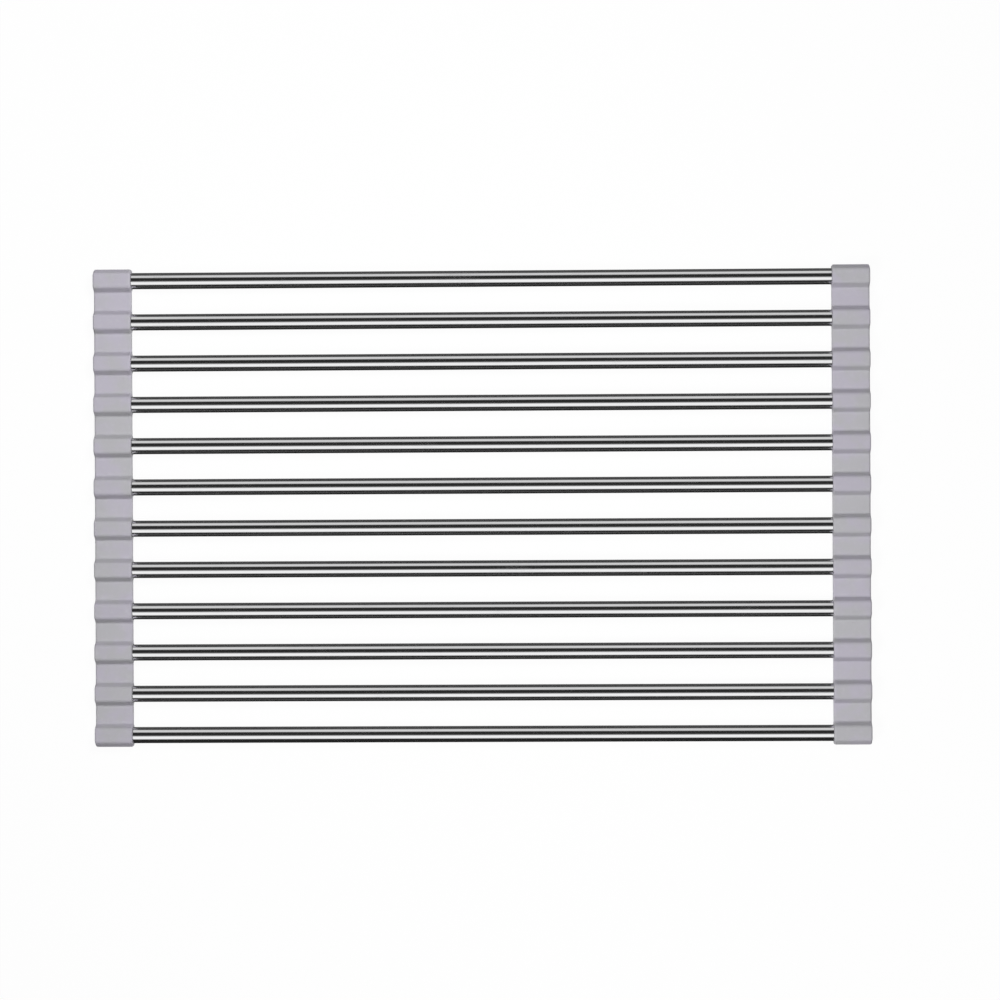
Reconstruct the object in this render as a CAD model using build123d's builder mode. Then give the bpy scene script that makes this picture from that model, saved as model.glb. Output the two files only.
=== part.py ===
"""Roll-up dish drying rack: steel tubes whose ends sit in two flexible silicone strips.

The rack lies flat. X runs along the tubes, Y across them from front to back, and Z up.
The origin is under the middle of the rack, on the surface that it lies on. Sizes are in mm.
"""

import os

from build123d import *

# The rack
tube_count = 12
rack_length = 450.0
tube_gap = 14.5

# The steel tubes
tube_diameter = 9.5
tube_wall = 0.6

# The silicone strips: a block over each tube end, and a thin web between two blocks
strip_width = 22.0
cover_thickness = 1.5
shoulder_inset = 0.7
foot_reach = 2.0
web_thickness = 3.0
socket_end_wall = 4.0
socket_clearance = 0.05

# Roundings of the strips
shoulder_radius = 2.2
foot_radius = 1.5
edge_radius = 1.2
rounding_limit_share = 0.4

# How far the selection of a block's rim stays off its seams
seam_slack = 0.05

# Worked out from the sizes above
tube_pitch = tube_diameter + tube_gap
tube_length = rack_length - 2 * socket_end_wall
block_height = tube_diameter + 2 * cover_thickness
axis_height = block_height / 2
web_half = web_thickness / 2
top_reach = tube_diameter / 2 - shoulder_inset
block_reach = tube_diameter / 2 + foot_reach
seam_reach = block_reach + foot_radius
web_length = tube_pitch - 2 * seam_reach
socket_radius = tube_diameter / 2 + socket_clearance
socket_depth = strip_width - socket_end_wall
edge_rounding = min(edge_radius, web_thickness * rounding_limit_share)
shoulder_rounding = max(shoulder_radius, edge_rounding)

# Each strip's middle and its side of the rack
sides = {"left": -1, "right": 1}
strip_offset = rack_length / 2 - strip_width / 2


def tube_place(number):
    """The Y of a tube's axis. Tube 1 is the front one."""
    return (number - (tube_count + 1) / 2) * tube_pitch


def side_corners(joined):
    """Corners of a block's back half, from its top round to its underside, as Y, Z and rounding.

    A joined half runs on into the web's thickness up to the seam. The other kind ends at its foot,
    as at the two ends of a strip.
    """
    top = (top_reach, axis_height, shoulder_rounding)
    foot = (block_reach, web_half, foot_radius if joined else edge_rounding)
    corners = [top, foot]
    if joined:
        corners.append((seam_reach, web_half, 0))
    return corners + [(y, -z, rounding) for y, z, rounding in reversed(corners)]


def block_corners(number):
    """Corners of a whole block's section around its tube's axis."""
    back = side_corners(joined=number < tube_count)
    front = side_corners(joined=number > 1)
    return back + [(-y, z, rounding) for y, z, rounding in reversed(front)]


def block_rim(block, number):
    """The edges round a block's two side faces, without those that lie in a seam."""
    reach = seam_reach - seam_slack
    side_faces = block.faces().sort_by(Axis.X)
    rim = side_faces[0].edges() + side_faces[-1].edges()
    return rim.filter_by(lambda edge: abs(edge.center().Y - tube_place(number)) < reach)


def steel_tube(number):
    """A tube, open at both ends, from socket to socket."""
    end = Plane(origin=(-tube_length / 2, tube_place(number), axis_height), z_dir=(1, 0, 0))
    with BuildPart() as tube:
        with BuildSketch(end):
            Circle(tube_diameter / 2)
            Circle(tube_diameter / 2 - tube_wall, mode=Mode.SUBTRACT)
        extrude(amount=tube_length)
    return tube


def strip_block(side, number):
    """The part of a strip that holds one tube end, with its blind socket."""
    middle = side * strip_offset
    centre = (middle - strip_width / 2, tube_place(number), axis_height)
    section = Plane(origin=centre, x_dir=(0, 1, 0), z_dir=(1, 0, 0))
    mouth_place = (middle - side * strip_width / 2, tube_place(number), axis_height)
    mouth = Plane(origin=mouth_place, z_dir=(-side, 0, 0))
    corners = block_corners(number)
    with BuildPart() as block:
        with BuildSketch(section):
            with BuildLine():
                FilletPolyline(
                    [(y, z) for y, z, rounding in corners],
                    radius=[rounding for y, z, rounding in corners],
                    close=True,
                )
            make_face()
        extrude(amount=strip_width)
        fillet(block_rim(block, number), edge_rounding)
        with Locations(mouth):
            Hole(socket_radius, depth=socket_depth)
    return block


def strip_web(side, number):
    """The thin web behind a block, which bends as the rack rolls up."""
    seam_place = (side * strip_offset, tube_place(number) + seam_reach, axis_height)
    seam = Plane(origin=seam_place, x_dir=(1, 0, 0), z_dir=(0, 1, 0))
    with BuildPart() as web:
        with BuildSketch(seam):
            RectangleRounded(strip_width, web_thickness, edge_rounding)
        extrude(amount=web_length)
    return web


def write_node(node, name):
    """Labels a finished piece and writes its STEP file."""
    node.part.label = name
    export_step(node.part, f"parts/{name}.step")


os.makedirs("parts", exist_ok=True)

for number in range(1, tube_count + 1):
    write_node(steel_tube(number), f"steel_tube_{number:02}")
    for side_name, side in sides.items():
        write_node(strip_block(side, number), f"{side_name}_strip_block_{number:02}")
        if number < tube_count:
            write_node(strip_web(side, number), f"{side_name}_strip_web_{number:02}")
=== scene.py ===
"""Roll-up dish drying rack: polished steel tubes held in two soft silicone end strips.

Everything is in metres, in the rack's own frame. X runs along the tubes, Y across them from the
front tube to the back one, and Z up. The origin is under the middle of the rack.
"""

from __future__ import annotations

import logging
import math
from collections.abc import Callable, Mapping, Sequence
from dataclasses import dataclass
from enum import Enum
from typing import Any

import bmesh
import bpy
from mathutils import Matrix, Vector

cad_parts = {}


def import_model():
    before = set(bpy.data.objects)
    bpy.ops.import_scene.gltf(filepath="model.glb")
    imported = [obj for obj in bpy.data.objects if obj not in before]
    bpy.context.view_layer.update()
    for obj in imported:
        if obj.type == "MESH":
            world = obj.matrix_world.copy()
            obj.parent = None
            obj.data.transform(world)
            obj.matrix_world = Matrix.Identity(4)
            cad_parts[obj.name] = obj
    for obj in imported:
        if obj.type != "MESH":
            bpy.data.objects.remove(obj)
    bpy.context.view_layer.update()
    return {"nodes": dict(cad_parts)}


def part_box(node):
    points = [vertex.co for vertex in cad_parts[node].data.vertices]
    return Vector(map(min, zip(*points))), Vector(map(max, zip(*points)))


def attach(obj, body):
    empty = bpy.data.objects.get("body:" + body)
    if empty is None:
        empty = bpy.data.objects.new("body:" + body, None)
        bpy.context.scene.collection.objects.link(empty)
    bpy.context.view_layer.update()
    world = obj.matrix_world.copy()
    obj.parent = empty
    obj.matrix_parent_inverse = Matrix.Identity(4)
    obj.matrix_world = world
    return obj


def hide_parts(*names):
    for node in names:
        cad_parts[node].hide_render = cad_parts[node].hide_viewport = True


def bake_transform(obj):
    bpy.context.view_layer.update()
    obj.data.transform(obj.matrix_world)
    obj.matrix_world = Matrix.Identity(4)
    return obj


Colour = tuple[float, float, float]
Place = tuple[float, float, float]
Span = tuple[float, float]

# How far off a point may lie and still count as on an edge or a face.
HAIR = 0.00002

# Points of a piece that are nearer to each other than this are one point.
SAME_POINT = 0.00001

# How nearly a face's normal has to follow an axis for the face to lie across it.
FACING = 0.9

# Two faces that meet at more than this angle keep a sharp edge.
CREASE = math.radians(40)

log = logging.getLogger("rack")


class Side(Enum):
    """The rack's two end strips, with the sign of their X."""

    LEFT = -1
    RIGHT = 1

    @property
    def label(self) -> str:
        """The side's name as the rack's parts have it."""
        return self.name.lower()


class BlockKind(Enum):
    """Where a block sits in its strip, with the sign of the Y of its free end."""

    FRONT = -1
    MIDDLE = 0
    BACK = 1

    @property
    def half_turned(self) -> BlockKind:
        """The kind that this one becomes after half a turn about Z."""
        return BlockKind(-self.value)

    def joined(self, way: int) -> bool:
        """Whether a web follows on the side of this sign."""
        return self.value != way


@dataclass(frozen=True)
class RackSizes:
    """The sizes that the tubes and the strips share."""

    tube_count: int
    tube_radius: float
    tube_length: float
    pitch: float
    axis_height: float
    strip_offset: float
    strip_width: float
    block_reach: float
    seam_reach: float
    half_height: float
    web_half: float
    tube_wall: float = 0.0006
    shoulder_inset: float = 0.0007
    socket_end_wall: float = 0.004
    socket_clearance: float = 0.00005
    shoulder_radius: float = 0.0022
    foot_radius: float = 0.0015
    edge_radius: float = 0.0012

    @classmethod
    def from_solids(cls, nodes: Mapping[str, Any]) -> RackSizes:
        """Reads the sizes that the solids' boxes give.

        Args:
            nodes: The solids by name.

        Returns:
            The sizes, with the walls and roundings that no box shows.
        """
        tube_low, tube_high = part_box("steel_tube_01")
        next_low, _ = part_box("steel_tube_02")
        block_low, block_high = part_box("left_strip_block_01")
        web_low, web_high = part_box("left_strip_web_01")
        axis = (tube_low + tube_high) / 2
        return cls(
            tube_count=sum(name.startswith("steel_tube_") for name in nodes),
            tube_radius=(tube_high.z - tube_low.z) / 2,
            tube_length=tube_high.x - tube_low.x,
            pitch=next_low.y - tube_low.y,
            axis_height=axis.z,
            strip_offset=-(block_low.x + block_high.x) / 2,
            strip_width=block_high.x - block_low.x,
            block_reach=axis.y - block_low.y,
            seam_reach=block_high.y - axis.y,
            half_height=(block_high.z - block_low.z) / 2,
            web_half=(web_high.z - web_low.z) / 2,
        )

    @property
    def top_reach(self) -> float:
        """Half the flat top of a block, along Y."""
        return self.tube_radius - self.shoulder_inset

    @property
    def slope(self) -> float:
        """The angle of a block's sloping sides from the flat."""
        return math.atan2(self.half_height - self.web_half, self.block_reach - self.top_reach)

    @property
    def web_length(self) -> float:
        """The length of a web between its two seams."""
        return self.pitch - 2 * self.seam_reach

    def tube_place(self, number: int) -> float:
        """The Y of a tube's axis. Tube 1 is the front one."""
        return (number - (self.tube_count + 1) / 2) * self.pitch

    def block_place(self, side: Side, number: int) -> Place:
        """The middle of a strip's block over this tube's end."""
        return (side.value * self.strip_offset, self.tube_place(number), self.axis_height)


def tangent_length(radius: float, turn: float) -> float:
    """How far from a corner its rounding starts, where the surface turns by this angle."""
    return radius * math.tan(turn / 2)


class Bench:
    """A mesh on the bench, shaped with hand tools in edit mode."""

    def __init__(self, name: str) -> None:
        """Takes the newest primitive on the bench.

        Args:
            name: The name that the piece gets.
        """
        self.piece: bpy.types.Object = bpy.context.active_object
        self.piece.name = name
        bpy.ops.object.transform_apply(location=True, rotation=True, scale=True)
        bpy.ops.object.mode_set(mode="EDIT")

    @classmethod
    def bar(cls, name: str, low: Place, high: Place) -> Bench:
        """Starts a piece from a square bar.

        Args:
            name: The piece's name.
            low: The bar's lowest corner.
            high: The bar's highest corner.

        Returns:
            The bench with the bar on it.
        """
        bpy.ops.object.select_all(action="DESELECT")
        middle = (Vector(low) + Vector(high)) / 2
        bpy.ops.mesh.primitive_cube_add(size=1, location=middle)
        bpy.context.active_object.scale = Vector(high) - Vector(low)
        return cls(name)

    @classmethod
    def rod(cls, name: str, radius: float, start: float, end: float, sides: int) -> Bench:
        """Starts a piece from a round rod along X.

        Args:
            name: The piece's name.
            radius: The rod's radius.
            start: The X of its left end.
            end: The X of its right end.
            sides: How many flats the round has.

        Returns:
            The bench with the rod on it.
        """
        bpy.ops.object.select_all(action="DESELECT")
        bpy.ops.mesh.primitive_cylinder_add(
            vertices=sides,
            radius=radius,
            depth=end - start,
            location=((start + end) / 2, 0, 0),
            rotation=(0, math.pi / 2, 0),
        )
        return cls(name)

    def pick_faces(self, wanted: Callable[[Vector, Vector], bool]) -> None:
        """Selects only the faces that pass a test.

        Args:
            wanted: The test of a face's middle and normal.
        """
        bpy.ops.mesh.select_mode(type="FACE")
        bpy.ops.mesh.select_all(action="DESELECT")
        for face in bmesh.from_edit_mesh(self.piece.data).faces:
            if wanted(face.calc_center_median(), face.normal):
                face.select_set(True)
        bmesh.update_edit_mesh(self.piece.data)

    def pick_edges(self, wanted: Callable[[Vector, Vector], bool]) -> None:
        """Selects only the edges that pass a test.

        Args:
            wanted: The test of an edge's two ends.
        """
        bpy.ops.mesh.select_mode(type="EDGE")
        bpy.ops.mesh.select_all(action="DESELECT")
        for edge in bmesh.from_edit_mesh(self.piece.data).edges:
            if wanted(edge.verts[0].co, edge.verts[1].co):
                edge.select_set(True)
        bmesh.update_edit_mesh(self.piece.data)

    def pick_sides(self) -> None:
        """Selects only the faces that lie across X."""
        self.pick_faces(lambda middle, normal: abs(normal.x) > FACING)

    def cut(self, point: Place, normal: Place) -> None:
        """Scores the whole piece along a plane."""
        bpy.ops.mesh.select_all(action="SELECT")
        bpy.ops.mesh.bisect(plane_co=point, plane_no=normal)

    def pull(self, move: Place) -> None:
        """Pulls the picked faces or edges out of the piece."""
        bpy.ops.mesh.extrude_region_move(TRANSFORM_OT_translate={"value": move})

    def taper(self, factors: Place, centre: Place) -> None:
        """Narrows what is picked towards a centre."""
        bpy.ops.transform.resize(value=factors, center_override=centre)

    def round_over(self, distance: float, segments: int) -> None:
        """Rounds the picked edges.

        Args:
            distance: How far from each edge its rounding starts.
            segments: How many flats a rounding has.
        """
        bpy.ops.mesh.bevel(
            offset=distance,
            offset_type="OFFSET",
            segments=segments,
            profile=0.5,
            affect="EDGES",
            clamp_overlap=False,
        )

    def round_sides(self, radius: float, segments: int) -> None:
        """Builds the two faces across X outward, into sides with rims rounded by a quarter circle.

        Args:
            radius: The radius of the rims.
            segments: How many flats a rim has.
        """
        self.pick_sides()
        bpy.ops.mesh.dissolve_faces()
        self.pick_sides()
        for step in range(segments):
            start, end = (math.pi / 2 * part / segments for part in (step, step + 1))
            bpy.ops.mesh.inset(
                thickness=radius * (math.cos(start) - math.cos(end)),
                depth=radius * (math.sin(end) - math.sin(start)),
            )

    def trim(self, y: float, way: int) -> None:
        """Trims off what lies past this Y, and closes the end.

        Args:
            y: The Y of the new end.
            way: 1 to trim off the back and -1 the front.
        """
        bpy.ops.mesh.select_all(action="SELECT")
        bpy.ops.mesh.bisect(
            plane_co=(0, y, 0), plane_no=(0, way, 0), use_fill=True, clear_outer=True
        )

    def bore(self, wall: float, mouth_edge: Callable[[Vector, Vector], bool]) -> None:
        """Bores the piece through, from one picked end face to the other.

        Args:
            wall: The thickness of the wall that is left.
            mouth_edge: The test of an edge's two ends that picks the bore's two mouths.
        """
        bpy.ops.mesh.inset(thickness=wall, depth=0)
        bpy.ops.mesh.delete(type="ONLY_FACE")
        self.pick_edges(mouth_edge)
        bpy.ops.mesh.bridge_edge_loops()

    def open_round(self, x: float, radius: float, sides: int) -> None:
        """Opens a round hole in the picked face, which lies across X.

        Args:
            x: The X of the face.
            radius: The hole's radius.
            sides: How many flats the round has.
        """
        bpy.ops.mesh.delete(type="ONLY_FACE")
        bpy.ops.mesh.primitive_circle_add(
            vertices=sides, radius=radius, location=(x, 0, 0), rotation=(0, math.pi / 2, 0)
        )
        self.pick_edges(lambda a, b: min(a.x, b.x) > x - HAIR)
        bpy.ops.mesh.fill()

    def leave(self) -> None:
        """Leaves edit mode, with only this piece selected."""
        bpy.context.view_layer.objects.active = self.piece
        if self.piece.mode == "EDIT":
            bpy.ops.object.mode_set(mode="OBJECT")
        bpy.ops.object.select_all(action="DESELECT")
        self.piece.select_set(True)

    def done(self) -> bpy.types.Object:
        """Closes the seams, turns the faces outward and smooths the roundings.

        Returns:
            The finished pattern.
        """
        bpy.ops.mesh.select_all(action="SELECT")
        bpy.ops.mesh.remove_doubles(threshold=SAME_POINT)
        bpy.ops.mesh.normals_make_consistent(inside=False)
        self.leave()
        bpy.ops.object.shade_smooth_by_angle(angle=CREASE)
        modifier = self.piece.modifiers.new("flat_faces_stay_flat", "WEIGHTED_NORMAL")
        modifier.keep_sharp = True
        bpy.ops.object.modifier_apply(modifier=modifier.name)
        return self.piece


@dataclass(frozen=True)
class Clouding:
    """A cloudy pattern: patches to a metre along each axis, finer layers, and their strength."""

    stretch: Place
    detail: float
    fineness: float = 0.5


@dataclass(frozen=True)
class Shade:
    """The output of a node in its network, for arithmetic on shader values."""

    net: Network
    socket: bpy.types.NodeSocket

    def __add__(self, other: Shade | float) -> Shade:
        """This plus another value."""
        return self.net.maths("ADD", self, other)

    def __radd__(self, other: float) -> Shade:
        """Another value plus this."""
        return self.net.maths("ADD", other, self)

    def __mul__(self, other: Shade | float) -> Shade:
        """This times another value."""
        return self.net.maths("MULTIPLY", self, other)

    def __rmul__(self, other: float) -> Shade:
        """Another value times this."""
        return self.net.maths("MULTIPLY", other, self)

    def __abs__(self) -> Shade:
        """The value without its sign."""
        return self.net.maths("ABSOLUTE", self)

    def ramp(self, low: float, high: float) -> Shade:
        """Rises softly from 0 to 1 with this value.

        Args:
            low: The value up to which the result is 0.
            high: The value from which it is 1.

        Returns:
            The result.
        """
        settings = {"interpolation_type": "SMOOTHSTEP"}
        sockets = {"Value": self, "From Min": low, "From Max": high}
        return self.net.node("ShaderNodeMapRange", settings, sockets)["Result"]


@dataclass(frozen=True)
class Placed:
    """A node in its network, with its outputs by name."""

    net: Network
    made: bpy.types.Node

    def __getitem__(self, name: str) -> Shade:
        """Finds an output.

        Args:
            name: The output's name or identifier.

        Returns:
            The output.
        """
        for socket in self.made.outputs:
            if name in (socket.identifier, socket.name):
                return Shade(self.net, socket)
        raise KeyError(name)


class Network:
    """The nodes of one material or world."""

    def __init__(self, tree: bpy.types.NodeTree) -> None:
        """Starts from an empty tree."""
        self.tree = tree
        tree.nodes.clear()

    @classmethod
    def for_material(cls, name: str) -> tuple[bpy.types.Material, Network]:
        """Makes a material.

        Args:
            name: The material's name.

        Returns:
            The material and its empty network.
        """
        material = bpy.data.materials.new(name)
        material.use_nodes = True
        return material, cls(material.node_tree)

    def node(
        self,
        kind: str,
        settings: Mapping[str, Any] | None = None,
        sockets: Mapping[str, Any] | None = None,
    ) -> Placed:
        """Adds a node.

        Args:
            kind: The node's type.
            settings: Its properties, set before its sockets. "stops" holds the stops of a ramp.
            sockets: Values or links for its inputs, by identifier or name.

        Returns:
            The node with its outputs.
        """
        made = self.tree.nodes.new(kind)
        for key, value in (settings or {}).items():
            if key == "stops":
                self.set_stops(made.color_ramp, value)
            else:
                setattr(made, key, value)
        for key, value in (sockets or {}).items():
            found = [socket for socket in made.inputs if key == socket.identifier]
            found += [socket for socket in made.inputs if key == socket.name]
            if isinstance(value, Shade):
                self.tree.links.new(value.socket, found[0])
            else:
                found[0].default_value = value
        return Placed(self, made)

    @staticmethod
    def set_stops(ramp: bpy.types.ColorRamp, stops: Sequence[Span]) -> None:
        """Gives a ramp its stops.

        Args:
            ramp: The ramp, with the two stops that it starts with.
            stops: Each stop's place from 0 to 1 and its brightness.
        """
        while len(ramp.elements) < len(stops):
            ramp.elements.new(1.0)
        for element, (place, grey) in zip(ramp.elements, stops):
            element.position = place
            element.color = (grey, grey, grey, 1)

    def maths(self, operation: str, first: Shade | float, second: Shade | float = 0.0) -> Shade:
        """Works on one or two values.

        Args:
            operation: The Math node's operation.
            first: The first value.
            second: The second value, where the operation has one.

        Returns:
            The result.
        """
        sockets = {"Value": first, "Value_001": second}
        return self.node("ShaderNodeMath", {"operation": operation}, sockets)["Value"]

    def blend_colours(self, share: Shade, first: Shade | Colour, second: Shade | Colour) -> Shade:
        """Mixes two colours.

        Args:
            share: How much of the second colour there is.
            first: The colour at 0.
            second: The colour at 1.

        Returns:
            The mixed colour.
        """
        sockets = {"Factor_Float": share}
        for key, colour in (("A_Color", first), ("B_Color", second)):
            sockets[key] = colour if isinstance(colour, Shade) else (*colour, 1)
        return self.node("ShaderNodeMix", {"data_type": "RGBA"}, sockets)["Result_Color"]

    def noise(self, pattern: Clouding) -> Shade:
        """Adds a cloudy pattern that is fixed to the rack.

        Args:
            pattern: The pattern.

        Returns:
            The noise, mostly between 0.3 and 0.7.
        """
        rack = self.node("ShaderNodeTexCoord")["Object"]
        stretch = {"Vector": rack, "Scale": pattern.stretch}
        spread = self.node("ShaderNodeMapping", None, stretch)
        sockets = {
            "Vector": spread["Vector"],
            "Scale": 1.0,
            "Detail": pattern.detail,
            "Roughness": pattern.fineness,
        }
        return self.node("ShaderNodeTexNoise", None, sockets)["Fac"]

    def relief(self, height: Shade, strength: float, depth: float) -> Shade:
        """Raises a surface slightly.

        Args:
            height: How high each place is.
            strength: How much of the relief there is, from 0 to 1.
            depth: The height at 1.

        Returns:
            The surface's normal.
        """
        sockets = {"Height": height, "Strength": strength, "Distance": depth}
        return self.node("ShaderNodeBump", None, sockets)["Normal"]

    def surface(self, sockets: Mapping[str, Any]) -> None:
        """Ends the network in a principled surface."""
        shader = self.node("ShaderNodeBsdfPrincipled", None, sockets)["BSDF"]
        self.node("ShaderNodeOutputMaterial", None, {"Surface": shader})


@dataclass(frozen=True)
class PolishedSteel:
    """Stainless tube, polished lengthwise: nearly a mirror, with faint streaks and smudges."""

    bright: Colour = (0.88, 0.88, 0.885)
    dull: Colour = (0.76, 0.76, 0.775)
    streaks: Clouding = Clouding((9, 1900, 1900), detail=3, fineness=0.6)
    smudges: Clouding = Clouding((28, 75, 75), detail=4, fineness=0.6)
    smudged: Span = (0.52, 0.74)
    dulled: Span = (0.35, 0.75)
    roughened: Span = (0.3, 0.8)
    streak_dulling: float = 0.55
    smudge_dulling: float = 0.3
    mirror_roughness: float = 0.07
    streak_roughness: float = 0.10
    smudge_roughness: float = 0.10
    streak_strength: float = 0.6
    streak_depth: float = 0.000004

    def material(self) -> bpy.types.Material:
        """Makes the material.

        Returns:
            The material with its network.
        """
        made, net = Network.for_material("polished_steel")
        streaks = net.noise(self.streaks)
        smudges = net.noise(self.smudges).ramp(*self.smudged)
        wear = streaks.ramp(*self.dulled) * self.streak_dulling + smudges * self.smudge_dulling
        net.surface(
            {
                "Base Color": net.blend_colours(wear, self.bright, self.dull),
                "Metallic": 1.0,
                "Roughness": streaks.ramp(*self.roughened) * self.streak_roughness
                + smudges * self.smudge_roughness
                + self.mirror_roughness,
                "Normal": net.relief(streaks, self.streak_strength, self.streak_depth),
            }
        )
        return made


@dataclass(frozen=True)
class SoftSilicone:
    """Moulded silicone: a cool light grey with faint clouds, pores and a fine matte grain."""

    lavender: Colour = (0.47, 0.448, 0.515)
    neutral: Colour = (0.452, 0.448, 0.470)
    dusty: Colour = (0.52, 0.51, 0.545)
    clouds: Clouding = Clouding((60, 60, 60), detail=3, fineness=0.55)
    pores: Clouding = Clouding((420, 420, 420), detail=2)
    grain: Clouding = Clouding((1500, 1500, 1500), detail=2, fineness=0.6)
    cloud_edges: Span = (0.38, 0.62)
    pore_edges: Span = (0.5, 0.8)
    pore_dust: float = 0.35
    roughness: float = 0.34
    cloud_roughness: float = 0.12
    grain_roughness: float = 0.1
    specular_level: float = 0.3
    pore_height: float = 0.5
    grain_strength: float = 0.35
    grain_depth: float = 0.00006

    def material(self) -> bpy.types.Material:
        """Makes the material.

        Returns:
            The material with its network.
        """
        made, net = Network.for_material("soft_silicone")
        clouds = net.noise(self.clouds)
        pores = net.noise(self.pores)
        grain = net.noise(self.grain)
        tint = net.blend_colours(clouds.ramp(*self.cloud_edges), self.lavender, self.neutral)
        dust = pores.ramp(*self.pore_edges) * self.pore_dust
        height = grain + pores * self.pore_height
        net.surface(
            {
                "Base Color": net.blend_colours(dust, tint, self.dusty),
                "Roughness": clouds * self.cloud_roughness
                + grain * self.grain_roughness
                + self.roughness,
                "Specular IOR Level": self.specular_level,
                "Normal": net.relief(height, self.grain_strength, self.grain_depth),
            }
        )
        return made


@dataclass(frozen=True)
class SteelTubes:
    """The rack's tubes, one bored and deburred tube copied to each place."""

    sizes: RackSizes
    finish: PolishedSteel
    sides: int = 96
    lip: float = 0.00012
    lip_segments: int = 2

    def model(self) -> bpy.types.Object:
        """Models one tube about the origin, with its bore and its two lips.

        Returns:
            The pattern of a tube.
        """
        sizes = self.sizes
        half = sizes.tube_length / 2
        bench = Bench.rod("tube_pattern", sizes.tube_radius, -half, half, self.sides)
        inside = sizes.tube_radius - sizes.tube_wall / 2
        bench.pick_sides()
        bench.bore(
            sizes.tube_wall,
            lambda a, b: max(a.yz.length, b.yz.length) < inside and abs(a.x - b.x) < half,
        )
        bench.pick_edges(lambda a, b: a.x * b.x > 0 and abs(a.yz.length - b.yz.length) < self.lip)
        bench.round_over(self.lip, self.lip_segments)
        return bench.done()

    def build(self) -> None:
        """Puts a tube in each place, on its own body."""
        pattern = self.model()
        material = self.finish.material()
        for number in range(1, self.sizes.tube_count + 1):
            place = (0, self.sizes.tube_place(number), self.sizes.axis_height)
            node = f"steel_tube_{number:02}"
            piece = copied(pattern, f"polished_tube_{number:02}", Matrix.Translation(place))
            dress(piece, material, node)
            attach(piece, f"bar_{number:02}")
        bpy.data.objects.remove(pattern, do_unlink=True)


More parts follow.
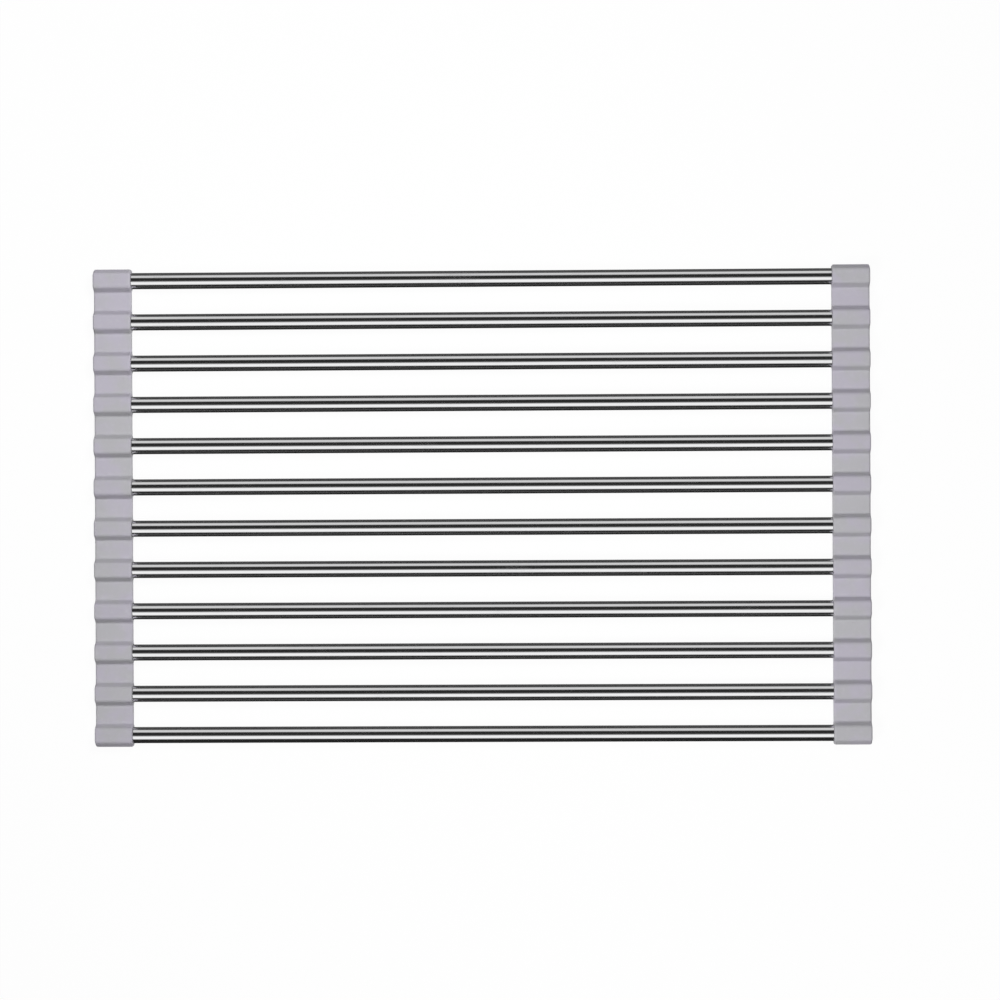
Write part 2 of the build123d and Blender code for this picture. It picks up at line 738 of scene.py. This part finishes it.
@dataclass(frozen=True)
class EndStrips:
    """The two silicone strips: blocks with sockets for the tube ends, and webs that bend."""

    sizes: RackSizes
    finish: SoftSilicone
    rim_segments: int = 5
    slope_segments: int = 7
    end_segments: int = 3
    end_ease: float = 0.0001
    mouth_rounding: float = 0.0001
    mouth_segments: int = 2
    socket_sides: int = 96
    web_cuts: int = 13
    spare: float = 0.003

    def raise_block(self, bench: Bench, way: int) -> None:
        """Pulls the middle of a block up or down, narrowing to its flat top.

        Args:
            bench: The bench with the block.
            way: 1 for the top and -1 for the underside.
        """
        sizes = self.sizes
        reach = sizes.top_reach
        bench.pick_faces(lambda middle, normal: normal.z * way > FACING and abs(middle.y) < reach)
        bench.pull((0, 0, way * (sizes.half_height - sizes.web_half)))
        bench.taper((1, reach / sizes.block_reach, 1), (0, 0, way * sizes.half_height))

    def round_across(
        self, bench: Bench, y: float, z: float, distance: float, segments: int
    ) -> None:
        """Rounds the edges along X at this Y, above and below the middle.

        Args:
            bench: The bench with the block.
            y: The edges' Y.
            z: The edges' distance from the middle height.
            distance: How far the rounding starts from each edge.
            segments: How many flats the rounding has.
        """

        def there(point: Vector) -> bool:
            """Whether a point lies on one of the edges."""
            return abs(point.y - y) < HAIR and abs(abs(point.z) - z) < HAIR

        bench.pick_edges(lambda a, b: there(a) and there(b) and a.z * b.z > 0)
        bench.round_over(distance, segments)

    def start_block(self, kind: BlockKind) -> Bench:
        """Starts a block as a bar as thick as a web, longer where a web follows.

        Args:
            kind: Where the block sits in its strip.

        Returns:
            The bench with the bar on it, scored where the block's sides will rise.
        """
        sizes = self.sizes
        side = sizes.strip_width / 2 - sizes.edge_radius
        long = sizes.seam_reach + self.spare
        reach = {way: long if kind.joined(way) else sizes.block_reach for way in (-1, 1)}
        bench = Bench.bar(
            f"block_pattern_{kind.name.lower()}",
            (-side, -reach[-1], -sizes.web_half),
            (side, reach[1], sizes.web_half),
        )
        for way in (-1, 1):
            if kind.joined(way):
                bench.cut((0, way * sizes.block_reach, 0), (0, 1, 0))
        return bench

    def model_block(self, kind: BlockKind) -> bpy.types.Object:
        """Models a block of the left strip about its tube's axis, with its socket towards +X.

        Args:
            kind: Where the block sits in its strip.

        Returns:
            The pattern of such a block.
        """
        sizes = self.sizes
        bench = self.start_block(kind)
        for way in (-1, 1):
            self.raise_block(bench, way)
        shoulder = tangent_length(sizes.shoulder_radius, sizes.slope)
        foot = tangent_length(sizes.foot_radius, sizes.slope)
        end = tangent_length(sizes.edge_radius + self.end_ease, math.pi / 2 - sizes.slope)
        for way in (-1, 1):
            top = (way * sizes.top_reach, sizes.half_height)
            self.round_across(bench, *top, shoulder, self.slope_segments)
            joined = kind.joined(way)
            corner = (foot, self.slope_segments) if joined else (end, self.end_segments)
            self.round_across(bench, way * sizes.block_reach, sizes.web_half, *corner)
        bench.round_sides(sizes.edge_radius, self.rim_segments)
        for way in (-1, 1):
            if kind.joined(way):
                bench.trim(way * sizes.seam_reach, way)
        self.sink_socket(bench)
        return bench.done()

    def sink_socket(self, bench: Bench) -> None:
        """Sinks the blind socket for the tube's end into the +X side, with a softened mouth.

        Args:
            bench: The bench with the block.
        """
        sizes = self.sizes
        lip = self.mouth_rounding
        face = sizes.strip_width / 2
        radius = sizes.tube_radius + sizes.socket_clearance
        bench.pick_faces(lambda middle, normal: normal.x > FACING and middle.x > face - HAIR)
        bench.open_round(face, radius + lip, self.socket_sides)
        bench.pick_edges(
            lambda a, b: min(a.x, b.x) > face - HAIR
            and max(a.yz.length, b.yz.length) < radius + lip + HAIR
        )
        steps = range(self.mouth_segments + 1)
        turns = [math.pi / 2 * step / self.mouth_segments for step in steps]
        for turn, next_turn in zip(turns, turns[1:]):
            bench.pull((lip * (math.cos(next_turn) - math.cos(turn)), 0, 0))
            narrowing = radius + lip * (1 - math.sin(next_turn))
            narrowing /= radius + lip * (1 - math.sin(turn))
            bench.taper((1, narrowing, narrowing), (face, 0, 0))
        bench.pull((sizes.socket_end_wall - sizes.strip_width + lip, 0, 0))
        bpy.ops.mesh.edge_face_add()

    def model_web(self) -> bpy.types.Object:
        """Models a web behind a tube's axis, with cuts across it so that it can bend.

        Returns:
            The pattern of a web.
        """
        sizes = self.sizes
        side = sizes.strip_width / 2 - sizes.edge_radius
        start = sizes.seam_reach
        end = start + sizes.web_length
        bench = Bench.bar(
            "web_pattern",
            (-side, start - self.spare, -sizes.web_half),
            (side, end + self.spare, sizes.web_half),
        )
        bench.round_sides(sizes.edge_radius, self.rim_segments)
        bench.trim(start, -1)
        bench.trim(end, 1)
        along = sizes.web_length - HAIR
        bench.pick_edges(lambda a, b: abs(a.y - b.y) > along)
        bpy.ops.mesh.subdivide(number_cuts=self.web_cuts)
        return bench.done()

    def kind_of(self, number: int) -> BlockKind:
        """Where the block with this number sits in its strip."""
        ends = {1: BlockKind.FRONT, self.sizes.tube_count: BlockKind.BACK}
        return ends.get(number, BlockKind.MIDDLE)

    def build(self) -> None:
        """Puts the blocks and webs of both strips in their places."""
        blocks = {kind: self.model_block(kind) for kind in BlockKind}
        web = self.model_web()
        material = self.finish.material()
        for side in Side:
            for number in range(1, self.sizes.tube_count + 1):
                self.place_block(blocks, side, number, material)
                if number < self.sizes.tube_count:
                    self.place_web(web, side, number, material)
        for pattern in (*blocks.values(), web):
            bpy.data.objects.remove(pattern, do_unlink=True)

    def place_block(
        self,
        patterns: Mapping[BlockKind, bpy.types.Object],
        side: Side,
        number: int,
        material: bpy.types.Material,
    ) -> None:
        """Puts a block over its tube's end, on the tube's body.

        Args:
            patterns: The modelled blocks, as they lie in the left strip.
            side: The strip that the block is in.
            number: The block's number.
            material: The strip's material.
        """
        kind = self.kind_of(number)
        pattern = patterns[kind if side is Side.LEFT else kind.half_turned]
        turn = Matrix.Rotation(0 if side is Side.LEFT else math.pi, 4, "Z")
        move = Matrix.Translation(self.sizes.block_place(side, number))
        name = f"{side.label}_strip_block_{number:02}"
        piece = copied(pattern, f"silicone_{name}", move @ turn)
        dress(piece, material, name)
        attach(piece, f"bar_{number:02}")

    def place_web(
        self, pattern: bpy.types.Object, side: Side, number: int, material: bpy.types.Material
    ) -> None:
        """Puts a web behind its block, reaching from that block to the next one.

        Args:
            pattern: The modelled web.
            side: The strip that it is in.
            number: The number of the block in front of it.
            material: The strip's material.
        """
        sizes = self.sizes
        x, y, z = sizes.block_place(side, number)
        name = f"{side.label}_strip_web_{number:02}"
        piece = copied(pattern, f"silicone_{name}", Matrix.Translation((x, y, z)))
        dress(piece, material, name)
        start = y + sizes.seam_reach
        start + sizes.web_length
        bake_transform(piece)


def copied(pattern: bpy.types.Object, name: str, move: Matrix) -> bpy.types.Object:
    """Copies a pattern with its own mesh, and puts its place in the mesh.

    Args:
        pattern: The modelled piece.
        name: The copy's name.
        move: Where the copy goes.

    Returns:
        The copy, with its object at the origin.
    """
    piece = pattern.copy()
    piece.name = name
    piece.data = pattern.data.copy()
    piece.data.name = name
    piece.data.transform(move)
    bpy.context.scene.collection.objects.link(piece)
    return piece


def dress(piece: bpy.types.Object, material: bpy.types.Material, node: str) -> None:
    """Gives a piece its material, and hides the solid that it stands for.

    Args:
        piece: The finished piece.
        material: Its material.
        node: The solid that it replaces.
    """
    piece.data.materials.clear()
    piece.data.materials.append(material)
    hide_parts(node)
    log.info("%s replaces %s, %d faces", piece.name, node, len(piece.data.polygons))


@dataclass(frozen=True)
class Softbox:
    """A soft square lamp that looks at a point of the rack and doesn't show in the steel."""

    name: str
    place: Place
    target: Place
    width: float
    watts: float
    spread: float = math.radians(100)

    def hang(self) -> None:
        """Hangs the lamp."""
        lamp = bpy.data.lights.new(self.name, "AREA")
        lamp.shape = "SQUARE"
        lamp.size = self.width
        lamp.energy = self.watts
        lamp.spread = self.spread
        hung = bpy.data.objects.new(self.name, lamp)
        hung.location = self.place
        way = Vector(self.target) - Vector(self.place)
        hung.rotation_euler = way.to_track_quat("-Z", "Y").to_euler()
        hung.visible_glossy = False
        bpy.context.scene.collection.objects.link(hung)


@dataclass(frozen=True)
class StudioSky:
    """The studio round the rack: white to the eye, panels and dark flags in the steel, soft fill.

    The bands run round the tubes: each has its angle from straight up, in degrees towards the
    back, and its brightness.
    """

    bands: tuple[Span, ...] = (
        (-180, 1.0),
        (-171, 1.0),
        (-161, 0.02),
        (-65, 0.02),
        (-52, 1.0),
        (-22, 1.0),
        (-10, 0.2),
        (0, 0.025),
        (35, 0.025),
        (47, 0.72),
        (72, 0.72),
        (82, 0.08),
        (155, 0.08),
        (165, 1.0),
        (180, 1.0),
    )
    ends: float = 0.7
    ends_from: Span = (0.5, 0.95)
    again_from: float = 1.5
    lost_again: float = 0.8
    fill: float = 0.02

    def reflected(self, net: Network, light_path: Placed) -> Shade:
        """What the steel reflects of the studio.

        Args:
            net: The world's network.
            light_path: The node that tells the rays apart.

        Returns:
            The colour from each direction.
        """
        ray = net.node("ShaderNodeTexCoord")["Generated"]
        way = net.node("ShaderNodeSeparateXYZ", None, {"Vector": ray})
        tilt = net.maths("ARCTAN2", way["Y"], way["Z"])
        stops = [((angle + 180) / 360, grey) for angle, grey in self.bands]
        place = tilt * (0.5 / math.pi) + 0.5
        panels = net.node("ShaderNodeValToRGB", {"stops": stops}, {"Fac": place})["Color"]
        endwise = abs(way["X"]).ramp(*self.ends_from)
        seen = net.blend_colours(endwise, panels, (self.ends,) * 3)
        again = net.maths("GREATER_THAN", light_path["Glossy Depth"], self.again_from)
        return net.blend_colours(again * self.lost_again, seen, (0, 0, 0))

    def put_up(self) -> None:
        """Makes the world."""
        world = bpy.data.worlds.new("studio")
        bpy.context.scene.world = world
        world.use_nodes = True
        world.cycles.sampling_method = "NONE"
        net = Network(world.node_tree)
        light_path = net.node("ShaderNodeLightPath")
        seen = self.reflected(net, light_path)
        colour = net.blend_colours(light_path["Is Glossy Ray"], (self.fill,) * 3, seen)
        colour = net.blend_colours(light_path["Is Camera Ray"], colour, (1, 1, 1))
        sky = net.node("ShaderNodeBackground", None, {"Color": colour, "Strength": 1.0})
        net.node("ShaderNodeOutputWorld", None, {"Surface": sky["Background"]})


@dataclass(frozen=True)
class PaleFloor:
    """A matt white table top that shows as white, with the rack's faint shadow on it."""

    width: float = 8.0
    thickness: float = 0.02
    drop: float = 0.0002
    paint: Colour = (0.85, 0.85, 0.85)
    speckle_paint: Colour = (0.8, 0.8, 0.8)
    speckle: Clouding = Clouding((300, 300, 300), detail=2)
    speckle_share: float = 0.1
    glow: float = 0.96

    def material(self) -> bpy.types.Material:
        """Makes the floor's paint, which glows to the eye only.

        Returns:
            The material with its network.
        """
        made, net = Network.for_material("pale_floor")
        speckle = net.noise(self.speckle) * self.speckle_share
        paint = net.blend_colours(speckle, self.paint, self.speckle_paint)
        matt = net.node("ShaderNodeBsdfDiffuse", None, {"Color": paint})["BSDF"]
        glow = {"Color": (1, 1, 1, 1), "Strength": 1.0}
        white = net.node("ShaderNodeEmission", None, glow)["Emission"]
        seen = net.node("ShaderNodeLightPath")["Is Camera Ray"] * self.glow
        mix = {"Fac": seen, "Shader": matt, "Shader_001": white}
        mixed = net.node("ShaderNodeMixShader", None, mix)["Shader"]
        net.node("ShaderNodeOutputMaterial", None, {"Surface": mixed})
        return made

    def lay(self) -> None:
        """Lays the floor just under the rack."""
        half = self.width / 2
        bench = Bench.bar(
            "floor", (-half, -half, -self.thickness - self.drop), (half, half, -self.drop)
        )
        bench.leave()
        floor = bench.piece
        floor.data.materials.append(self.material())
        floor.visible_glossy = False


@dataclass(frozen=True)
class Viewpoint:
    """The camera over the rack, nearly straight above it."""

    place: Place = (0.0595, -0.0122, 1.7023)
    turn: Place = (math.radians(0.071), math.radians(1.4), math.radians(-0.286))
    lens: float = 105.33
    sensor: float = 36
    shift: Span = (-0.0128, 0.0232)

    def set_up(self) -> None:
        """Makes the camera and looks through it."""
        lens = bpy.data.cameras.new("overhead_camera")
        lens.lens = self.lens
        lens.sensor_width = self.sensor
        lens.shift_x, lens.shift_y = self.shift
        camera = bpy.data.objects.new("overhead_camera", lens)
        camera.location = self.place
        camera.rotation_euler = self.turn
        bpy.context.scene.collection.objects.link(camera)
        bpy.context.scene.camera = camera


@dataclass(frozen=True)
class Studio:
    """Floor, lamps, sky and camera round the rack."""

    lamps: tuple[Softbox, ...] = (
        Softbox("back_lamp", (0.217, 0.42, 1.029), (-0.42, 0.239, 0), width=0.38, watts=3.95),
        Softbox("front_lamp", (-0.347, -0.47, 0.994), (0.671, -0.165, 0), width=0.38, watts=3.94),
    )

    def build(self) -> None:
        """Puts up the studio."""
        for lamp in self.lamps:
            lamp.hang()
        StudioSky().put_up()
        PaleFloor().lay()
        Viewpoint().set_up()
        bpy.context.scene.view_settings.view_transform = "Standard"


def main() -> None:
    """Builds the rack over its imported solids, and the studio round it."""
    logging.basicConfig(level=logging.INFO, format="%(message)s")
    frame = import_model()
    sizes = RackSizes.from_solids(frame["nodes"])
    SteelTubes(sizes, PolishedSteel()).build()
    EndStrips(sizes, SoftSilicone()).build()
    Studio().build()


if __name__ == "__main__":
    main()
